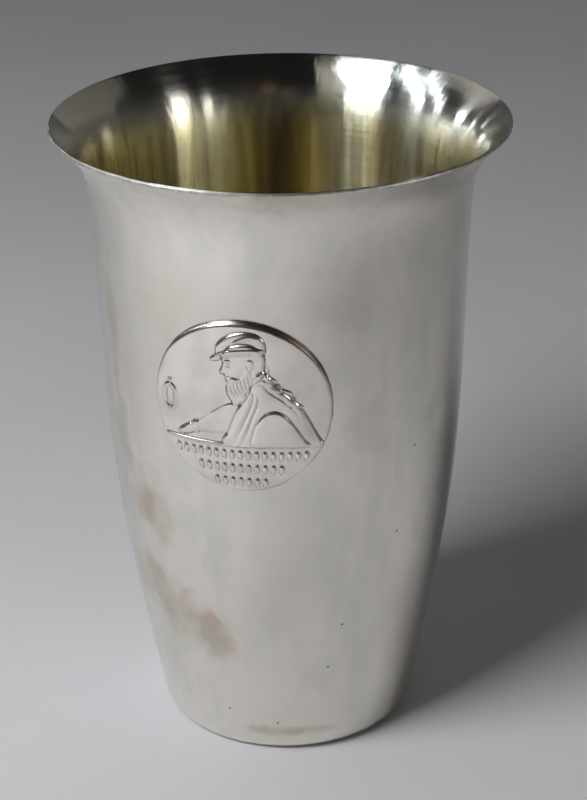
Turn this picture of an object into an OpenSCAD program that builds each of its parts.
// Presentation beaker: a spun silver cup with a flared lip, a gilt inside and a struck
// medallion soldered to the front. The origin is on the resting face, on the cup's axis,
// +Z points up and the medallion faces -Y.

/* [Cup] */
// Height from the resting face to the top of the lip
cup_h = 107; // [98:1:115]
// Diameter across the lip
lip_d = 75; // [72:0.5:80]
// Diameter of the neck, where the lip starts to flare
neck_d = 62.2; // [60:0.2:64]
// Height of the neck
neck_h = 92; // [86:1:93]
// Diameter of the wall just above the bottom corner
foot_d = 44.4; // [40:0.2:48]
// Radius of the bottom corner
corner_r = 2.6; // [2:0.1:4]
// Lean of the wall where it leaves the corner, in degrees from upright
foot_lean = 11; // [8:1:13]
// Lean of the flare at the lip, in degrees from upright
lip_lean = 50; // [40:1:60]
// Thickness of the silver sheet
sheet_t = 0.5; // [0.4:0.1:1]
// Thickness of the gold wash on the inside
wash_t = 0.1; // [0.1:0.05:0.2]

/* [Medallion] */
// Diameter of the struck disc
medal_d = 29.5; // [26:0.5:32]
// Height of the disc's centre above the resting face
medal_h = 69.3; // [60:0.1:72]
// Thickness of the solder behind the disc
solder_t = 0.1; // [0.1:0.05:0.2]
// Thickness of the disc at its field
medal_t = 0.9; // [0.7:0.1:1.2]
// Height of the figure's relief above the field
relief_t = 0.7; // [0.3:0.1:0.8]
// Height of the ground line, badge and beads above the field
line_t = 0.35; // [0.2:0.05:0.4]
// Drop from the disc's centre to the ground line
ground_drop = 6.2; // [5.5:0.1:6.6]
// Width of a bead in the rows below the ground line
bead_w = 0.7; // [0.5:0.1:0.9]
// Length of a bead, up the wall
bead_l = 1.5; // [1:0.1:1.8]
// Distance between the beads of a row
bead_pitch = 1.3; // [1.1:0.1:1.6]
// Distance between the rows of beads
row_gap = 2.4; // [2.1:0.1:2.5]

/* [Hidden] */
$fn = 96;

SILVER = [0.80, 0.79, 0.77];
GOLD = [0.80, 0.70, 0.42];
SOLDER = [0.62, 0.61, 0.60];

CORNER_STEPS = 6;
WALL_STEPS = 22;
LIP_STEPS = 12;
OUTLINE_STEPS = 72;

// Points on a cubic Bezier curve, and the unit direction along it
function bez(a, b, c, d, t) =
    pow(1 - t, 3) * a + 3 * pow(1 - t, 2) * t * b + 3 * (1 - t) * t * t * c + t * t * t * d;
function unit(v) = v / norm(v);
function bez_dir(a, b, c, d, t) =
    unit(pow(1 - t, 2) * (b - a) + 2 * (1 - t) * t * (c - b) + t * t * (d - c));
// Direction that leans outwards by the given angle from upright
function lean(angle) = [sin(angle), cos(angle)];

// Bottom corner: an arc from the flat bottom to the foot of the wall
corner_mid = [foot_d / 2 - corner_r, corner_r];
corner_turn = 90 - foot_lean;
function corner_dir(i) = lean(90 - corner_turn * i / CORNER_STEPS);
function corner_pt(i) =
    corner_mid + corner_r * [corner_dir(i).y, -corner_dir(i).x];

// Wall: one slow curve from the foot to the neck
foot_pt = corner_pt(CORNER_STEPS);
neck_pt = [neck_d / 2, neck_h];
neck_lean = 2;
wall_rise = neck_h - corner_r;
foot_pull = 0.52;
neck_pull = 0.41;
wall_b = foot_pt + foot_pull * wall_rise * lean(foot_lean);
wall_c = neck_pt - neck_pull * wall_rise * lean(neck_lean);
function wall_pt(i) = bez(foot_pt, wall_b, wall_c, neck_pt, i / WALL_STEPS);
function wall_dir(i) = bez_dir(foot_pt, wall_b, wall_c, neck_pt, i / WALL_STEPS);

// Flare: a short curve from the neck out to the lip
all_t = sheet_t + wash_t;
lip_pt = [lip_d / 2, cup_h - all_t * sin(lip_lean)];
lip_rise = cup_h - neck_h;
flare_pull = 0.55;
lip_pull = 0.4;
lip_b = neck_pt + flare_pull * lip_rise * lean(neck_lean);
lip_c = lip_pt - lip_pull * lip_rise * lean(lip_lean);
function lip_curve(i) = bez(neck_pt, lip_b, lip_c, lip_pt, i / LIP_STEPS);
function lip_dir(i) = bez_dir(neck_pt, lip_b, lip_c, lip_pt, i / LIP_STEPS);

// The whole outside, from the flat bottom up to the lip, as points with their directions
outside = concat(
    [for (i = [0 : CORNER_STEPS]) [corner_pt(i), corner_dir(i)]],
    [for (i = [1 : WALL_STEPS]) [wall_pt(i), wall_dir(i)]],
    [for (i = [1 : LIP_STEPS]) [lip_curve(i), lip_dir(i)]]
);
// The same outline moved square to itself: outwards for t above 0, inwards below 0
function skin(t) = [for (p = outside) p[0] + t * [p[1].y, -p[1].x]];
function reversed(list) = [for (i = [len(list) - 1 : -1 : 0]) list[i]];

// A closed vessel of revolution between two skins
module vessel(outer_t, inner_t) {
    outer = skin(outer_t);
    inner = skin(inner_t);
    floor_out = [0, outer[0].y];
    floor_in = [0, inner[0].y];
    rotate_extrude() polygon(concat([floor_out], outer, reversed(inner), [floor_in]));
}

// A band of revolution round the upper wall, between two skins outside it
BAND_SKIP = 6;
module wall_band(inner_t, outer_t) {
    first = CORNER_STEPS + BAND_SKIP;
    last = CORNER_STEPS + WALL_STEPS;
    inner = skin(inner_t);
    outer = skin(outer_t);
    rotate_extrude()
        polygon(concat(
            [for (i = [first : last]) inner[i]],
            [for (i = [last : -1 : first]) outer[i]]
        ));
}

// The medallion's own outlines are drawn flat, x along the wall and y up from the disc's
// centre, and are bent round the wall: x becomes an angle about the cup's axis.
bend_r = neck_d / 2 - 0.3;
DEG_PER_RAD = 180 / PI;
function bent(p) = [bend_r * sin(p.x / bend_r * DEG_PER_RAD), p.y + medal_h];
function oval(mid, rx, ry, steps) =
    [for (i = [0 : steps - 1]) mid + [rx * cos(360 * i / steps), ry * sin(360 * i / steps)]];

// Flat outlines, cut out of the band between two skins on the front of the cup
module on_wall(outlines, inner_t, outer_t) {
    intersection() {
        wall_band(inner_t, outer_t);
        rotate([90, 0, 0])
            linear_extrude(lip_d / 2)
                for (points = outlines)
                    polygon([for (p = points) bent(p)]);
    }
}

medal_r = medal_d / 2;
field_t = solder_t + medal_t;
solder_edge = 0.15;
solder_r = medal_r + solder_edge;
disc_outline = oval([0, 0], medal_r, medal_r, OUTLINE_STEPS);
solder_outline = oval([0, 0], solder_r, solder_r, OUTLINE_STEPS);

// Ground line: a thin bar that ends just inside the disc's edge
ground_w = 0.4;
ground_gap = 0.6;
ground_half = sqrt(medal_r * medal_r - ground_drop * ground_drop) - ground_gap;
ground_outline = [
    [-ground_half, -ground_drop - ground_w / 2],
    [ground_half, -ground_drop - ground_w / 2],
    [ground_half, -ground_drop + ground_w / 2],
    [-ground_half, -ground_drop + ground_w / 2]
];

// The figure stands on the ground line: a cloaked body, a bowed head and a soft cap
body_outline = [
    [-2, -ground_drop], [-0.6, -3], [0, 0.6], [1.4, 5.4], [3.7, 6.8], [5.6, 4.4],
    [8.9, 1.2], [11.4, -3], [12.8, -ground_drop]
];
// One sleeve reaches down to the ground line on the left
arm_outline = [
    [-9.2, -5.6], [-8.6, -4.4], [-7, -3], [-4, -0.8], [-1.4, 1.2], [0, 0.6],
    [-0.6, -3], [-3.4, -4.4], [-7, -5.2]
];
HEAD_STEPS = 40;
head_mid = [0.8, 7];
cap_mid = head_mid + [0, 4.1];
head_outline = oval(head_mid, 3, 4, HEAD_STEPS);
cap_outline = oval(cap_mid, 4, 2.4, HEAD_STEPS);
// A small oval badge near the disc's left edge
badge_mid = [-11.7, 0.4];
badge_outline = oval(badge_mid, 1.1, 2.6, HEAD_STEPS);

// Rows of upright beads below the ground line, shorter towards the bottom of the disc
row_count = 3;
first_row_drop = 1.8;
first_row_half = 0.74 * medal_r;
row_shrink = 3.4;
BEAD_STEPS = 14;
function row_y(row) = -ground_drop - first_row_drop - row * row_gap;
function row_half(row) = first_row_half - row * row_shrink;
function row_beads(row) = floor(row_half(row) / bead_pitch);
bead_outlines = [
    for (row = [0 : row_count - 1])
        for (k = [-row_beads(row) : row_beads(row)])
            oval([k * bead_pitch, row_y(row)], bead_w / 2, bead_l / 2, BEAD_STEPS)
];

module cup_shell() {
    color(SILVER) vessel(0, -sheet_t);
}

module gilt_lining() {
    color(GOLD) vessel(-sheet_t, -all_t);
}

module medallion() {
    low_parts = concat([ground_outline, badge_outline, arm_outline], bead_outlines);
    color(SILVER) union() {
        on_wall([disc_outline], solder_t, field_t);
        on_wall(low_parts, solder_t, field_t + line_t);
        on_wall([body_outline, head_outline, cap_outline], solder_t, field_t + relief_t);
    }
}

module medallion_solder() {
    color(SOLDER) on_wall([solder_outline], 0, solder_t);
}

cup_shell();
gilt_lining();
medallion();
medallion_solder();
